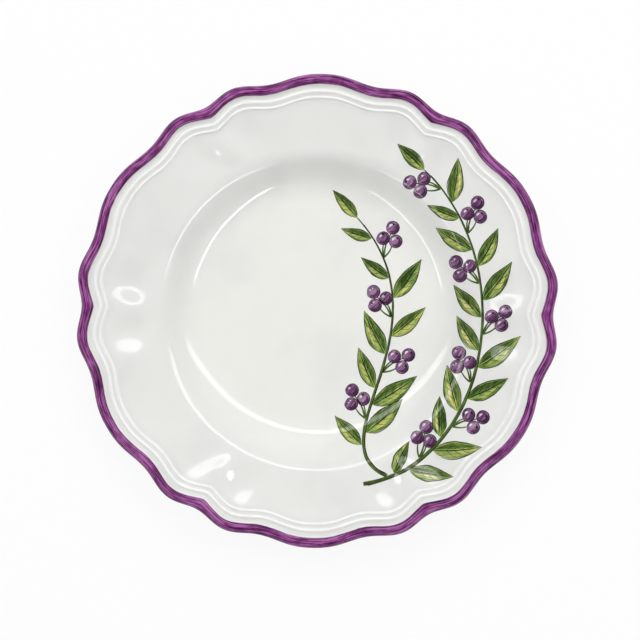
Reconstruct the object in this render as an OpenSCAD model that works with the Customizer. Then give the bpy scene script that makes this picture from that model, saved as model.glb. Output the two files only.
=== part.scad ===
// Dinner plate of glazed earthenware: a scalloped rim with a purple lip, a double moulded line,
// a broad flange, a round well, a foot ring, and a leaf and berry spray painted on the face.
// Millimetres, +Z up, with the origin on the table at the middle of the foot ring.

/* [Rim] */
// Number of notches round the rim
notches = 6; // [5:1:8]
// How far a lobe stands out from the rim's radius, and a notch in from it
scallop = 1.75; // [0.5:0.05:3]
// How far the rim is out of round: its sides stand out by this, and its front and back in
oval = 1.4; // [0:0.1:2.5]
// How much the small lobes crowd towards the notches
crowding = 1.3; // [1:0.05:1.6]
// How softly the scallop dies away from the moulding to the well
scallop_fade = 2; // [1:0.1:4]
// Depth of the crease pressed into the moulding at each notch
crease = 1.2; // [0:0.1:2]
// Angle over which the crease dies away
crease_angle = 2.4; // [1:0.1:4]
// How far the flange swells up at each notch and sinks on either side of it
swell = 1.2; // [0:0.05:1.6]
// Thickness of the rounded lip
lip_t = 6.6; // [5.5:0.1:8]
// Height of the lip's crown over the flange
lip_crown = 0.9; // [0.5:0.1:1.5]
// Width of the cove inside the lip
cove_w = 2.5; // [1.8:0.1:4]
// Depth of the cove below the flange
cove_d = 0.3; // [0:0.05:0.8]
// Width of each of the two moulded ridges
ridge_w = 3.3; // [2.4:0.1:4]
// Height of each moulded ridge
ridge_h = 0.7; // [0.2:0.05:1]

/* [Flange and well] */
// Radius at which the well's bottom and its wall would meet without their fillet
bottom_r = 72; // [60:0.5:86]
// How far the wall runs outwards from the bottom to the well's edge
wall_run = 16.5; // [14:0.5:20]
// Width of the flange from the well's edge to the moulding
flange_w = 30.4; // [25:0.1:37]
// Depth of the well from its edge to its floor
well_depth = 10.25; // [8:0.25:13]
// Fillet between the floor and the wall
floor_fillet = 32; // [22:1:40]
// Rounding of the well's edge
edge_round = 20; // [14:0.5:24]
// Rise of the flange from the well's edge to the lip
flange_rise = 7; // [5:0.25:10]
// Share of that rise that the flange gains by curling up towards the rim
flange_curl = 0.4; // [0:0.05:0.6]
// Thickness of the clay
clay_t = 4.8; // [4:0.1:6]

/* [Foot] */
// Height of the foot ring
foot_h = 4; // [3:0.25:6]
// Width of the foot ring where it joins the base
foot_w = 6.5; // [5:0.25:9]
// How far each side of the foot leans in
foot_lean = 0.8; // [0:0.1:1.5]
// Chamfer round the foot's bearing face
foot_chamfer = 0.6; // [0.2:0.1:1]
// Step from the edge of the flat base to the foot
foot_inset = 1; // [0.5:0.1:3]

/* [Coats] */
// Thickness of the glaze and of the purple band
glaze_t = 0.4; // [0.25:0.05:0.6]
// Gap between the back glaze and the bare foot
coat_gap = 0.1; // [0.05:0.05:0.3]
// Thickness of a brush stroke
paint_t = 0.15; // [0.1:0.05:0.3]
// Gap between the glaze and the strokes on it, for the flat facets of the glaze
paint_gap = 0.12; // [0.05:0.01:0.3]
// Half the width of a brush stroke at its finest point
brush_tip = 0.15; // [0.1:0.05:0.3]

/* [Painted spray] */
// Length of the longest leaves
leaf_l = 28; // [20:1:30]
// Width of the widest leaves
leaf_w = 9.6; // [6:0.2:10.4]
// Angle between a leaf and its stem
leaf_spread = 46; // [40:1:50]
// How far a leaf curls back towards its stem's own direction
leaf_curl = 12; // [0:1:20]
// Width of a stem where it is thickest
stem_w = 2.2; // [1.4:0.1:3]
// Width of a berry's stalk
stalk_w = 0.9; // [0.5:0.1:1.2]
// Diameter of a berry
berry_d = 7.4; // [5:0.1:8]

/* [Hidden] */
$fn = 96;

// Angles round the rim, closer together at the notches
pitch = 360 / notches;
sector_steps = 14;
bunching = 0.35;
angles = [
    for (n = [0 : notches - 1]) for (i = [0 : sector_steps - 1])
        let (u = i / sector_steps) pitch * (n + u - bunching * sin(360 * u) / (2 * PI))
];

// Heights, from the table up
base_z = foot_h;
floor_z = base_z + clay_t;
edge_z = floor_z + well_depth;
lip_z = edge_z + flange_rise;

// The well's wall, and the radius at which its floor starts to rise
wall_angle = atan2(well_depth, wall_run);
well_r = bottom_r + wall_run;
flat_r = bottom_r - floor_fillet * tan(wall_angle / 2);

// The two ridges and the cove, from the flange outwards
moulding_r = well_r + flange_w;
ridge_2_r = moulding_r + ridge_w / 2;
groove_r = moulding_r + ridge_w;
ridge_1_r = groove_r + ridge_w / 2;
cove_mid_r = groove_r + ridge_w + cove_w / 2;
lip_in_r = groove_r + ridge_w + cove_w;
groove_share = 0.15;

// The lip is a round bead, and the band covers it between these two angles of its section.
// The rim's radius lies halfway between its lobes and its notches.
band_top = 143;
band_end = -70;
band_steps = 6;
band_angles = [for (i = [0 : band_steps]) band_top + (band_end - band_top) * i / band_steps];
lip_mid_r = lip_in_r - lip_t / 2 * cos(band_top);
lip_mid_z = lip_z + lip_crown - lip_t / 2;
rim_r = lip_mid_r + lip_t / 2;

// The slope on which the flange leaves the well, and the rounding between them
flange_angle = atan2(flange_rise * (1 - flange_curl), rim_r - well_r);
edge_run = edge_round * tan((wall_angle - flange_angle) / 2);
flange_r = well_r + edge_run * cos(flange_angle);
edge_mid_r = flange_r + edge_round * sin(flange_angle);
edge_mid_z = edge_z + edge_run * sin(flange_angle) - edge_round * cos(flange_angle);
flange_steps = 4;

// The foot
foot_out_r = flat_r - foot_inset;
foot_in_r = foot_out_r - foot_w;

// Height of the bare flange at radius r
function flange_z(r) = edge_z + flange_rise * (
    (1 - flange_curl) * (r - well_r) / (rim_r - well_r)
    + flange_curl * pow((r - flange_r) / (rim_r - flange_r), 2)
);

// Points of an arc in the section, with three points unless more are asked for
function arc(mid_r, mid_z, radius, from, to, steps = 2) = [
    for (i = [0 : steps])
        let (a = from + (to - from) * i / steps)
        [mid_r + radius * cos(a), mid_z + radius * sin(a)]
];
function lip_points(radius) = [
    for (a = band_angles) [lip_mid_r + radius * cos(a), lip_mid_z + radius * sin(a)]
];

// Section of the clay's upper face, from the floor out to the band
clay_lip = lip_points(lip_t / 2 - glaze_t);
clay_face = concat(
    arc(flat_r, floor_z + floor_fillet, floor_fillet, -90, wall_angle - 90, 3),
    arc(edge_mid_r, edge_mid_z, edge_round, 90 + wall_angle, 90 + flange_angle, 3),
    [
        for (i = [1 : flange_steps])
            let (r = flange_r + (moulding_r - flange_r) * i / flange_steps) [r, flange_z(r)]
    ],
    [
        [ridge_2_r, flange_z(ridge_2_r) + ridge_h],
        [groove_r, flange_z(groove_r) + ridge_h * groove_share],
        [ridge_1_r, flange_z(ridge_1_r) + ridge_h],
        [cove_mid_r, flange_z(cove_mid_r) - cove_d],
        clay_lip[0]
    ]
);
// The same face with its glaze on
glazed_lip = lip_points(lip_t / 2);
glazed_face = [
    for (i = [0 : len(clay_face) - 1])
        i < len(clay_face) - 1 ? clay_face[i] + [0, glaze_t] : glazed_lip[0]
];
// Section of the underside, from the band in to the flat base
clay_back = concat(
    [clay_lip[band_steps], [lip_mid_r, lip_mid_z - lip_t / 2 + glaze_t]],
    [[groove_r, flange_z(groove_r) - clay_t / cos(flange_angle)]],
    arc(edge_mid_r, edge_mid_z, edge_round - clay_t, 90 + flange_angle, 90 + wall_angle),
    arc(flat_r, floor_z + floor_fillet, floor_fillet + clay_t, wall_angle - 90, -90)
);
// The same underside with its glaze on, as far as the foot
glazed_back = concat(
    [glazed_lip[band_steps]],
    [for (i = [1 : len(clay_back) - 1]) clay_back[i] - [0, glaze_t]]
);

// How far round from its nearest notch an angle lies, from 0 at the notch to 1 in mid lobe
function from_notch(a) = abs(a - pitch * round(a / pitch)) * 2 / pitch;
// Three lobes to each pitch, a wide one with a narrow shoulder on each side
function lobe(a) = -cos(540 * (1 - pow(1 - from_notch(a), crowding)));
// How far over the flange a radius lies, from 0 at the well to 1 at the moulding
function flange_share(r) = lookup(r, [[flange_r, 0], [moulding_r, 1]]);
function scallop_share(r) = pow(sin(90 * flange_share(r)), scallop_fade);
function crease_share(r) = scallop_share(r) * lookup(r, [[lip_in_r, 1], [rim_r, 0]]);
// The powers that shape the crease round the rim and the swells across the flange
crease_power = 1.2;
swell_power = 1.5;
function crease_fold(a) = exp(-pow(from_notch(a) * pitch / 2 / crease_angle, crease_power));
// The lobes and swells at the angles and radii of the facets, and straight between them as the facets are
lobe_stops = [for (a = concat(angles, [360])) [a, lobe(a)]];
swell_stops = [for (a = concat(angles, [360])) [a, (from_notch(a) - 1) * lobe(a)]];
swell_profile = [
    for (i = [0 : flange_steps])
        let (u = i / flange_steps)
        [flange_r + (moulding_r - flange_r) * u, pow(sin(180 * u), swell_power)]
];
function full_turn(a) = a < 0 ? a + 360 : a;
// Where a point of the plain round section goes at angle a
function scalloped_r(r, a) =
    r + scallop_share(r) * (scallop * lookup(full_turn(a), lobe_stops) + oval * cos(2 * a))
    - crease * crease_share(r) * crease_fold(a);
function swelled_z(r, z, a) =
    z + swell * lookup(r, swell_profile) * lookup(full_turn(a), swell_stops);

// A solid whose section is swept round the scallop: a ring, or capped at both ends where it isn't closed.
// Facets are split from the inner ring to the outer one, so that two coats that touch share them.
module swept(section, closed) {
    n = len(angles);
    m = len(section);
    points = [
        for (p = section) for (a = angles)
            let (r = scalloped_r(p[0], a)) [r * cos(a), r * sin(a), swelled_z(p[0], p[1], a)]
    ];
    sides = [
        for (j = [0 : m - (closed ? 1 : 2)]) for (i = [0 : n - 1])
            let (k = (i + 1) % n, here = j * n, next = (j + 1) % m * n)
            each section[(j + 1) % m][0] > section[j][0]
                ? [[here + i, here + k, next + k], [here + i, next + k, next + i]]
                : [[here + i, here + k, next + i], [here + k, next + k, next + i]]
    ];
    caps = closed ? [] : [
        [for (i = [n - 1 : -1 : 0]) i],
        [for (i = [0 : n - 1]) (m - 1) * n + i]
    ];
    polyhedron(points, concat(sides, caps), convexity = 4);
}

// Radius in the plain section of a point that lies at radius r and angle a on the finished plate
inverse_rounds = 4;
function plain_r(r, a, rounds = inverse_rounds) =
    rounds < 1 ? r : let (q = plain_r(r, a, rounds - 1)) r - (scalloped_r(q, a) - q);
// Height of the glazed face at a point
function face_z(p) =
    let (a = atan2(p.y, p.x), q = plain_r(norm(p), a)) swelled_z(q, lookup(q, glazed_face), a);

// How far the face rises at most over a straight stretch between two of its points
sag_samples = 4;
function sag(p, q) = max([
    for (i = [1 : sag_samples])
        let (u = i / (sag_samples + 1)) face_z(p + (q - p) * u) - face_z(p) * (1 - u) - face_z(q) * u
]);
// The points across station i of a stroke
function stroke_row(s, i, strips) =
    let (ahead = s[min(i + 1, len(s) - 1)] - s[max(i - 1, 0)],
         across = [-ahead.y, ahead.x] / norm([ahead.x, ahead.y]))
    [for (c = [0 : strips]) [s[i].x, s[i].y] + across * s[i].z * (1 - 2 * c / strips)];
// The most by which a stretch from one row to the next, along or askew, or across the first, would sink
function row_sag(row, next) = max([
    for (c = [0 : len(row) - 1])
        each c == len(row) - 1
            ? [sag(row[c], next[c])]
            : [sag(row[c], next[c]), sag(row[c], next[c + 1]), sag(row[c], row[c + 1])]
]);

// Brush strokes laid on the face, one after another in one node, each as a row of [x, y, half width].
// Every stroke of a node has as many stations. Across, a stroke is cut into strips that follow the face,
// and its top is split into facets just as its underside is, so that it is equally thick everywhere.
// A station is lifted where a stretch beside it would sink into the glaze.
module painted(strokes, strips = 1) {
    n = len(strokes[0]);
    w = 2 * strips + 2;
    points = [
        for (s = strokes)
            let (rows = [for (i = [0 : n - 1]) stroke_row(s, i, strips)],
                 sags = [for (i = [0 : n - 2]) row_sag(rows[i], rows[i + 1])])
            for (i = [0 : n - 1])
                let (lift = max(0, sags[max(i - 1, 0)], sags[min(i, n - 2)]))
                for (c = [0 : w - 1])
                    let (top = c > strips, p = rows[i][top ? w - 1 - c : c])
                    [p.x, p.y, face_z(p) + paint_gap + lift + (top ? paint_t : 0)]
    ];
    faces = [
        for (k = [0 : len(strokes) - 1])
            let (first = w * n * k, last = first + w * (n - 1))
            each concat(
                [
                    for (c = [0 : strips - 1])
                        let (cap = [c, c + 1, w - 2 - c, w - 1 - c])
                        each [[for (e = cap) first + e], [for (e = [3 : -1 : 0]) last + cap[e]]]
                ],
                [
                    for (i = [0 : n - 2]) for (c = [0 : w - 1])
                        let (here = first + w * i + c, beside = first + w * i + (c + 1) % w)
                        each c > strips
                            ? [[here, here + w, beside], [here + w, beside + w, beside]]
                            : [[here, here + w, beside + w], [here, beside + w, beside]]
                ]
            )
    ];
    polyhedron(points, faces, convexity = 4);
}

// The spray: an outer branch that follows the flange and an inner branch that turns into the well.
// Each is a curve through four guide points, whose radii are shares of the flange's and the well's.
function polar(r, a) = r * [cos(a), sin(a)];
mid_r = (well_r + moulding_r) / 2;
outer_branch = [
    polar(0.98 * mid_r, -74), polar(1.26 * mid_r, -41), polar(1.165 * mid_r, 13), polar(0.97 * mid_r, 54)
];
inner_branch = [
    polar(0.98 * mid_r, -66), polar(1.05 * bottom_r, -92),
    polar(1.11 * bottom_r, -6), polar(0.81 * bottom_r, 68)
];
outer_joints = 21;
inner_joints = 13;
outer_first = 0.09;
inner_first = 0.21;
last_joint = 0.94;
stem_steps = 60;
stalk_steps = 3;
leaf_steps = 11;
leaf_strips = 3;
berry_steps = 6;
// How stems taper and how leaves differ in size, as shares of the sizes above
stem_taper = 0.7;
leaf_least = 0.72;
leaf_swell = 0.3;
leaf_vary = 0.1;
hollow_side = 0.88;
tip_growth = 0.75;
// The power that sets a leaf's broadest place nearer to its root
leaf_belly = 0.75;

function branch_at(b, t) = pow(1 - t, 3) * b[0] + 3 * t * pow(1 - t, 2) * b[1]
    + 3 * t * t * (1 - t) * b[2] + pow(t, 3) * b[3];
function branch_way(b, t) = let (d = branch_at(b, t + 0.001) - branch_at(b, t - 0.001)) atan2(d.y, d.x);
function stem_half(t) = max(stem_w / 2 * (1 - stem_taper * t), brush_tip);

// Each joint as [root, heading, side, growth]. The sides alternate, and the leaves are largest in the
// middle of a branch and smaller on its hollow side.
function joint(b, i, t) =
    let (side = i % 2 == 0 ? 1 : -1,
         way = branch_way(b, t),
         root = branch_at(b, t) + (stem_half(t) + brush_tip) * polar(1, way + 90 * side),
         growth = (leaf_least + leaf_swell * sin(180 * t)) * (1 + leaf_vary * sin(137 * i)))
    [root, way, side, side > 0 ? growth * hollow_side : growth];
// Every third joint carries berries and the others a leaf
function joints_of(b, joints, first, berried) = [
    for (i = [0 : joints - 1])
        if ((i % 3 == 2) == berried) joint(b, i, first + (last_joint - first) * i / (joints - 1))
];
function tip_of(b) =
    let (way = branch_way(b, 1)) [branch_at(b, 1) + polar(brush_tip, way), way, 0, tip_growth];
leaf_joints = concat(
    joints_of(outer_branch, outer_joints, outer_first, false),
    joints_of(inner_branch, inner_joints, inner_first, false),
    [tip_of(outer_branch), tip_of(inner_branch)]
);
berry_joints = concat(
    joints_of(outer_branch, outer_joints, outer_first, true),
    joints_of(inner_branch, inner_joints, inner_first, true)
);

// The stroke of a leaf from its root to its tip
function leaf_half(u) = leaf_w / 2 * sin(180 * pow(u, leaf_belly));
function leaf_stroke(j) = [
    for (i = [0 : leaf_steps])
        let (u = i / leaf_steps,
             way = j[1] + j[2] * (leaf_spread - leaf_curl * u / 2),
             p = j[0] + leaf_l * j[3] * u * polar(1, way))
        [p.x, p.y, max(leaf_half(u) * j[3], brush_tip)]
];

// The three berries of a joint, each as [middle, stalk root].
// A stalk's length is in berry diameters, and its angle is from the stem's heading.
cluster = [[1.5, 20], [1.55, 58], [2.4, 39]];
function berries_of(j) =
    [for (c = cluster) [j[0] + c[0] * berry_d * polar(1, j[1] + j[2] * c[1]), j[0]]];
all_berries = [for (j = berry_joints) each berries_of(j)];
// A berry is brushed outwards from the plate's middle, so that its stations follow the bends of the face
function berry_stroke(middle) = [
    for (i = [0 : berry_steps])
        let (a = 180 * i / berry_steps, p = middle - berry_d / 2 * cos(a) * middle / norm(middle))
        [p.x, p.y, max(berry_d / 2 * sin(a), brush_tip)]
];
function stalk_stroke(b) =
    let (length = norm(b[0] - b[1]) - berry_d / 2 - brush_tip, way = (b[0] - b[1]) / norm(b[0] - b[1]))
    [
        for (i = [0 : stalk_steps])
            let (p = b[1] + way * length * i / stalk_steps) [p.x, p.y, stalk_w / 2]
    ];

module clay_body() {
    under_band = [for (i = [1 : band_steps - 1]) clay_lip[i]];
    color("burlywood") swept(concat(clay_face, under_band, clay_back), false);
}

module foot_ring() {
    color("tan") rotate_extrude() polygon([
        [foot_in_r, base_z],
        [foot_in_r + foot_lean, foot_chamfer],
        [foot_in_r + foot_lean + foot_chamfer, 0],
        [foot_out_r - foot_lean - foot_chamfer, 0],
        [foot_out_r - foot_lean, foot_chamfer],
        [foot_out_r, base_z]
    ]);
}

module face_glaze() {
    clay_under = [for (i = [len(clay_face) - 1 : -1 : 0]) clay_face[i]];
    color("whitesmoke") swept(concat(glazed_face, clay_under), false);
}

module back_glaze() {
    foot_edge = [[foot_out_r + coat_gap, base_z - glaze_t], [foot_out_r + coat_gap, base_z]];
    clay_under = [for (i = [len(clay_back) - 1 : -1 : 0]) clay_back[i]];
    color("white") swept(concat(clay_under, glazed_back, foot_edge), true);
}

module base_glaze() {
    lean = foot_lean * glaze_t / (base_z - foot_chamfer);
    color("white") rotate_extrude() polygon([
        [0, base_z - glaze_t],
        [foot_in_r + lean, base_z - glaze_t],
        [foot_in_r, base_z],
        [0, base_z]
    ]);
}

module rim_band() {
    clay_under = [for (i = [band_steps : -1 : 0]) clay_lip[i]];
    color("rebeccapurple") swept(concat(glazed_lip, clay_under), true);
}

module stems() {
    color("darkolivegreen") painted([
        for (b = [outer_branch, inner_branch]) [
            for (i = [0 : stem_steps])
                let (t = i / stem_steps, p = branch_at(b, t)) [p.x, p.y, stem_half(t)]
        ]
    ]);
}

module stalks() {
    color("olivedrab") painted([for (b = all_berries) stalk_stroke(b)]);
}

module leaves() {
    color("forestgreen") painted([for (j = leaf_joints) leaf_stroke(j)], leaf_strips);
}

module berries() {
    color("indigo") painted([for (b = all_berries) berry_stroke(b[0])]);
}

clay_body();
foot_ring();
face_glaze();
back_glaze();
base_glaze();
rim_band();
stems();
stalks();
leaves();
berries();
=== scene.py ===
import math

import bmesh
import bpy
from bpy.props import FloatProperty, FloatVectorProperty, IntProperty, PointerProperty
from mathutils import Matrix, Vector, noise


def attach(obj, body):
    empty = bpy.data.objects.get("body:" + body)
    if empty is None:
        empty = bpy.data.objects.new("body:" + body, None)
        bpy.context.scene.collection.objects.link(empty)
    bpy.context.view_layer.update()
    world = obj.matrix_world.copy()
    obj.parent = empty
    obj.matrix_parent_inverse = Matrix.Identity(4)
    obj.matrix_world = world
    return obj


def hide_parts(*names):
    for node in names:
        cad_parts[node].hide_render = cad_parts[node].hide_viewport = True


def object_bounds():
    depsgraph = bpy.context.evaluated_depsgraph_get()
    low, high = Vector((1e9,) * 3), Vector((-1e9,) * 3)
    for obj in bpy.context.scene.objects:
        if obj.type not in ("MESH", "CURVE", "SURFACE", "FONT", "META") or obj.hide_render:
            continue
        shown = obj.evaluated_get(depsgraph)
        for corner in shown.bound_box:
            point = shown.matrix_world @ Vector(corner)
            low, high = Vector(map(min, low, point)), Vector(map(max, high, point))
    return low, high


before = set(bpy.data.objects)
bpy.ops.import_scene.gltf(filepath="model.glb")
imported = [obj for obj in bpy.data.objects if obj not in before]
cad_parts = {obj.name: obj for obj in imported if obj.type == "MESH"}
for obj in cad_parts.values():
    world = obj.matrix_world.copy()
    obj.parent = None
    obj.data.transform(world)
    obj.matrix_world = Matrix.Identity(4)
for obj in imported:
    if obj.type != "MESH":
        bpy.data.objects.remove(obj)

bl_info = {
    "name": "Scalloped plate",
    "version": (1, 0, 0),
    "blender": (4, 5, 0),
    "location": "3D View > Sidebar > Plate",
    "description": "Makes a glazed, hand-painted dinner plate round its packed solids",
    "category": "Add Mesh",
}

CAD_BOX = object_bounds()
MM = 0.001


def length(name, millimetres, description):
    """A size that is given in millimetres and kept in metres."""
    return FloatProperty(
        name=name, description=description, default=millimetres * MM, precision=5, unit="LENGTH"
    )


def share(name, value, description):
    """A plain number, such as a share or a power."""
    return FloatProperty(name=name, description=description, default=value, precision=3)


def angle(name, degrees, description):
    """An angle that is given in degrees and kept in radians."""
    return FloatProperty(
        name=name, description=description, default=math.radians(degrees), subtype="ANGLE"
    )


def colour(name, red, green, blue, description):
    """A colour as it shows on a screen, with each part from 0 to 255."""
    return FloatVectorProperty(
        name=name, description=description, size=3, min=0, max=1, subtype="COLOR_GAMMA",
        default=(red / 255, green / 255, blue / 255),
    )


class PlateSizes(bpy.types.PropertyGroup):
    """Sizes of the plate itself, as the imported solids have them."""

    notches: IntProperty(name="Notches", description="Notches round the rim", default=6)
    scallop: length("Scallop", 1.75, "How far a lobe stands out and a notch in")
    oval: length("Oval", 1.4, "How far the rim's sides stand out of round, and its front and back in")
    crowding: share("Crowding", 1.3, "How much the small lobes crowd towards the notches")
    scallop_fade: share("Scallop fade", 2, "How softly the scallop dies away from the moulding to the well")
    crease: length("Crease", 1.2, "Depth of the crease in the moulding at a notch")
    crease_angle: angle("Crease angle", 2.4, "Angle over which the crease dies away")
    swell: length("Swell", 1.2, "How far the flange swells up at a notch and sinks beside it")
    lip_t: length("Lip", 6.6, "Thickness of the rounded lip")
    lip_crown: length("Lip crown", 0.9, "Height of the lip over the flange")
    cove_w: length("Cove width", 2.5, "Width of the cove inside the lip")
    cove_d: length("Cove depth", 0.3, "Depth of the cove below the flange")
    ridge_w: length("Ridge width", 3.3, "Width of each moulded ridge")
    ridge_h: length("Ridge height", 0.7, "Height of each moulded ridge")
    bottom_r: length("Bottom radius", 72, "Where the bottom and the wall would meet")
    wall_run: length("Wall run", 16.5, "How far the wall runs outwards to the well's edge")
    flange_w: length("Flange width", 30.4, "From the well's edge to the moulding")
    well_depth: length("Well depth", 10.25, "From the well's edge to its floor")
    floor_fillet: length("Floor fillet", 32, "Fillet between the floor and the wall")
    edge_round: length("Edge rounding", 20, "Rounding of the well's edge")
    flange_rise: length("Flange rise", 7, "From the well's edge to the lip")
    flange_curl: share("Flange curl", 0.4, "Share of the rise that the flange gains by curling up")
    clay_t: length("Clay", 4.8, "Thickness of the clay")
    foot_h: length("Foot height", 4, "Height of the foot ring")
    foot_w: length("Foot width", 6.5, "Width of the foot ring at the base")
    foot_lean: length("Foot lean", 0.8, "How far each side of the foot leans in")
    foot_chamfer: length("Foot chamfer", 0.6, "Chamfer round the foot's bearing face")
    foot_inset: length("Foot inset", 1, "From the edge of the flat base to the foot")
    glaze_t: length("Glaze", 0.4, "Thickness of the glaze")
    coat_gap: length("Coat gap", 0.1, "Between the back glaze and the foot")


class SpraySizes(bpy.types.PropertyGroup):
    """Sizes of the painted spray."""

    leaf_l: length("Leaf length", 28, "Length of the longest leaves")
    leaf_w: length("Leaf width", 9.6, "Width of the widest leaves")
    leaf_spread: angle("Leaf spread", 46, "Angle between a leaf and its stem")
    leaf_curl: angle("Leaf curl", 12, "How far a leaf curls back towards its stem")
    stem_w: length("Stem width", 2.2, "Width of a stem where it is thickest")
    stalk_w: length("Stalk width", 0.9, "Width of a berry's stalk")
    berry_d: length("Berry", 7.4, "Diameter of a berry")
    ink_w: length("Ink line", 0.62, "Width of an ink line")
    brush_tip: length("Brush tip", 0.15, "Half the width of the finest stroke")
    wash_lift: length("Wash lift", 0.05, "Thickness of the first colour")
    touch_lift: length("Touch lift", 0.075, "Height of the second colour over the glaze")
    ink_lift: length("Ink lift", 0.1, "Height of the ink over the glaze")


class PlateColours(bpy.types.PropertyGroup):
    """Colours of the coats and of the paint."""

    glaze: colour("Glaze", 238, 238, 235, "White tin glaze")
    # Painted light: the glaze on the floor is coloured lighter than on the flange and the wall
    glaze_floor_lit: colour("Glaze in the well", 244, 244, 239, "The glaze on the floor, where it is whitest")
    # Painted highlight: a whiter glaze along the moulding's crests
    glaze_crest_highlight: colour("Glaze on the crests", 252, 252, 250, "The glaze on the moulding's two crests")
    # Pooled glaze, darker in the hollows and on the upper wall partly as painted shade
    glaze_pool_and_shade: colour("Pooled glaze", 214, 217, 213, "The glaze where it lies thick")
    clay: colour("Clay", 205, 176, 143, "Bare fired clay")
    clay_speck: colour("Clay specks", 172, 138, 106, "Darker grains in the clay")
    band_dark: colour("Band, dark", 58, 6, 56, "Where the band's brush left most paint")
    band_mid: colour("Band", 118, 48, 113, "The band's own colour")
    band_light: colour("Band, light", 172, 102, 167, "Where the brush left least paint")
    leaf_dark: colour("Leaf, dark", 40, 66, 14, "Shaded side of the leaves")
    leaf_mid: colour("Leaf", 92, 122, 48, "The leaves' own colour")
    leaf_light: colour("Leaf, light", 158, 180, 98, "Thin wash of the leaf green")
    yellow: colour("Yellow", 214, 202, 104, "Warm touches on the leaves")
    stem: colour("Stem", 74, 92, 34, "The stems' green")
    berry_dark: colour("Berry, dark", 62, 26, 60, "Shaded side of the berries")
    berry_mid: colour("Berry", 112, 66, 112, "The berries' own colour")
    berry_light: colour("Berry, light", 190, 154, 188, "Thin wash of the berry purple")
    ink: colour("Ink", 24, 19, 22, "Fine lines of the drawing")


# Angles of the lip's round section at which the band starts and ends, and where the section ends
BAND_TOP = math.radians(143)
BAND_END = math.radians(-70)
LIP_END = math.radians(-90)
# Height of the groove between the ridges, as a share of theirs
GROOVE_SHARE = 0.15
# Powers that narrow a ridge towards its crest, and a crease and a swell towards their notch
RIDGE_POWER = 2.5
CREASE_POWER = 1.2
SWELL_POWER = 1.5
# Half waves of the scallop from a notch to the middle of a lobe
LOBE_WAVES = 3
# Rounds in which a point in plan is traced back to the plain section
INVERSE_ROUNDS = 4
# Steps of a spin from one notch to the next, and of each stretch of a section
PITCH_STEPS = 96
FLOOR_STEPS = 6
ARC_STEPS = 12
FLANGE_STEPS = 14
RIDGE_STEPS = 8
CLAY_LIP_STEPS = 16
BAND_STEPS = 40
LIP_END_STEPS = 4
BACK_STEPS = 20
CHAMFER_STEPS = 6
# Rings of the glazed disc inside the foot, as shares of its radius
BASE_RINGS = (0.98, 0.9, 0.7, 0.4, 0)
# Pools of glaze, which also paint shade into the hollows and onto the upper wall, each as its width and its
# depth from 0 to 1
COVE_POOL_SHADE = (1.2 * MM, 0.4)
GROOVE_POOL_SHADE = (1 * MM, 0.6)
MOULDING_POOL_SHADE = (1.5 * MM, 0.3)
WALL_POOL_SHADE = (7 * MM, 0.12)
# From the well's edge in to the pool of glaze and painted shade on the wall
WALL_POOL_SHADE_INSET = 5.5 * MM
# Width of the painted highlight, a white line, along the crests of the moulding
CREST_HIGHLIGHT_WIDTH = 0.9 * MM
# Points nearer than this are joined, and edges sharper than this stay sharp
WELD = 1e-6
SHARP_ANGLE = math.radians(35)


def blend(value, low, high):
    """0 below low, 1 above high, and an even rise between them."""
    return min(max((value - low) / (high - low), 0), 1)


def eased(value):
    """An even share turned into one that starts and ends softly."""
    return (1 - math.cos(math.pi * value)) / 2


def near(value, place, width):
    """1 at a place, and less and less to both sides of it."""
    return math.exp(-((value - place) / width) ** 2)


def even(start, end, steps):
    """Values from start to end in even steps, with both ends among them."""
    return [start + (end - start) * i / steps for i in range(steps + 1)]


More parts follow.
